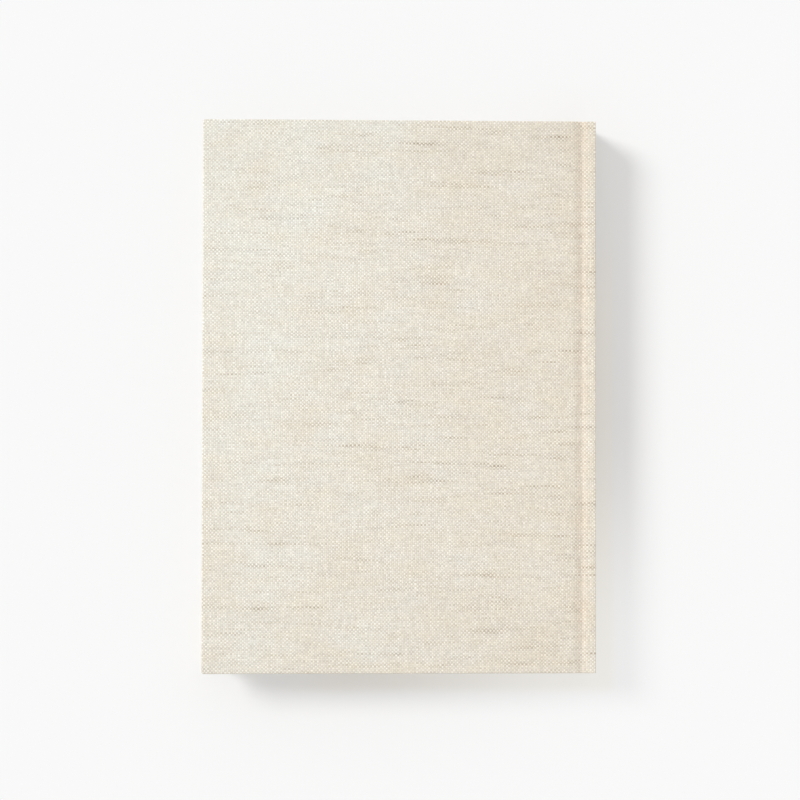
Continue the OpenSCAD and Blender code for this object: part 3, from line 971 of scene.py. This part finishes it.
rng = np.random.default_rng(TRIM_SEED)
for number in range(1, SECTIONS + 1):
    low, high = corners(f"section_{number:02d}")
    middle = (low[2] + high[2]) / 2
    fixed = number <= FIXED_SECTIONS
    patches = section_patches(middle, rng, FIXED_STEPS if fixed else BEND_STEPS)
    leaves = sheet_piece(f"section_{number:02d}_leaves", patches, LEAF_T, text_paper)
    stand_for(leaves, "text_paper", f"section_{number:02d}")
    if fixed:
        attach(leaves, BLOCK)
        continue
    leaf_hinge(leaves)
    stitches = mesh_piece(f"stitches_{number:02d}", stitch_grids(middle), twine)
    leaf_hinge(stand_for(stitches, "linen_thread", f"thread_{number:02d}"))

for end, sign in (("head", 1.0), ("tail", -1.0)):
    band = mesh_piece(f"{end}_band_weave", band_grids(sign), silk)
    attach(stand_for(band, "headband", f"{end}_band"), BLOCK)

# The parts inside keep their solid shapes and take a finish
INSIDE = {"back_board": greyboard, "front_board": greyboard, "spine_board": greyboard,
          "back_mull_flange": gauze, "front_mull_flange": gauze, "spine_mull": gauze,
          "spine_lining": kraft, "sewing_tapes": tape, "sewing_thread": twine}
for node, finish in INSIDE.items():
    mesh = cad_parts[node].data
    mesh.materials.clear()
    mesh.materials.append(finish)


# Stage, with lengths in metres

FLOOR_HALF = 4.0
WHITE = (1.0, 1.0, 1.0, 1.0)
FLOOR_WHITE = (0.91, 0.91, 0.91, 1.0)
CAMERA_WHITE = 0.947
# Share of the floor's own light everywhere, and what the corner between spine and tail adds,
# where the shadow fades out
FLOOR_GLOW = 0.19
FADE_GLOW = 0.47
FADE_AT = (0.102, -0.132, 0.0)
FADE_REACH = (0.01, 0.13)
# The side of the floor that the light comes from shows little shadow: its direction, reach and glow
LIT_WAY = (-0.815, 0.580, 0.0)
LIT_REACH = (0.0, 0.04)
LIT_GLOW = 0.45
# Painted bounce light: in the shadow by the book, the floor and its glow take a cream tint, light thrown back
# by the book:
# the colours, how far the tint reaches past the spine and the tail, its soft edge, and where it ends towards
# the light
FLOOR_BOUNCE_CREAM = (0.936, 0.91, 0.888, 1.0)
GLOW_BOUNCE_CREAM = (0.985, 0.972, 0.925, 1.0)
BOUNCE_SHIFT = 0.008
BOUNCE_REACH = (0.0, 0.006)
BOUNCE_END = (-0.058, -0.028)
SKY = 0.70
KEY_FROM = np.array([-1.06, 0.60, 1.0])
KEY_SPREAD = math.radians(20.5)
KEY_STRENGTH = 1.70
CAMERA_LENS = 94.67
CAMERA_SENSOR = 36.0
CAMERA_AT = (-0.034, -0.0214, 1.0)
CAMERA_TURN = np.radians([1.15, -2.01, 0.086])


def floor_object():
    """A plain square under the book; the camera sees part of it as light, so that its shadow is pale."""
    f = Finish("floor")
    place = f.place()
    away = f.node("ShaderNodeVectorMath", {"operation": "DISTANCE"}, {0: place, 1: FADE_AT}, "Value")
    lit = f.node("ShaderNodeVectorMath", {"operation": "DOT_PRODUCT"}, {0: place, 1: LIT_WAY}, "Value")
    past_x = ((f.part(place, "X") - BOUNCE_SHIFT).size() - CASE_W / 2 * MM).highest(0.0)
    past_y = ((f.part(place, "Y") + BOUNCE_SHIFT).size() - Y_CASE * MM).highest(0.0)
    past = (past_x * past_x + past_y * past_y).root()
    # Painted bounce light: the share of the cream tint, near the book on its shadowed sides
    cream = (1.0 - past.ease(*BOUNCE_REACH)) * (1.0 - lit.ease(*BOUNCE_END))
    share = FLOOR_GLOW + (1.0 - away.ease(*FADE_REACH)) * FADE_GLOW + lit.ease(*LIT_REACH) * LIT_GLOW
    matt = [f.node("ShaderNodeBsdfDiffuse", sockets={"Color": tint}) for tint in (FLOOR_WHITE, FLOOR_BOUNCE_CREAM)]
    glow = [f.node("ShaderNodeEmission", sockets={"Color": tint, "Strength": CAMERA_WHITE})
            for tint in (WHITE, GLOW_BOUNCE_CREAM)]
    surface = f.join(f.seen() * share, f.join(cream, *matt), f.join(cream, *glow))
    f.node("ShaderNodeOutputMaterial", sockets={"Surface": surface})
    side = np.array([-FLOOR_HALF, FLOOR_HALF]) / MM
    points = grid_of(side[:, None], side[None], 0.0)
    return mesh_piece("floor", [(points, points[..., :2], False)], f.owner)


floor_object()

key_light = bpy.data.lights.new("key", "SUN")
key_light.angle = KEY_SPREAD
key_light.energy = KEY_STRENGTH
key = bpy.data.objects.new("key", key_light)
toward = KEY_FROM / np.linalg.norm(KEY_FROM)
key.location = toward
key.rotation_euler = (math.acos(toward[2]), 0.0, math.atan2(toward[0], -toward[1]))
bpy.context.scene.collection.objects.link(key)

studio = Finish("studio", bpy.data.worlds)
sky = studio.node("ShaderNodeBackground", sockets={"Color": WHITE, "Strength": SKY})
white = studio.node("ShaderNodeBackground", sockets={"Color": WHITE, "Strength": CAMERA_WHITE})
air = studio.join(studio.seen(), sky, white)
studio.node("ShaderNodeOutputWorld", sockets={"Surface": air})
bpy.context.scene.world = studio.owner

camera_data = bpy.data.cameras.new("camera")
camera_data.lens = CAMERA_LENS
camera_data.sensor_width = CAMERA_SENSOR
camera = bpy.data.objects.new("camera", camera_data)
camera.location = CAMERA_AT
camera.rotation_euler = CAMERA_TURN
bpy.context.scene.collection.objects.link(camera)
bpy.context.scene.camera = camera
bpy.context.scene.view_settings.view_transform = "Standard"
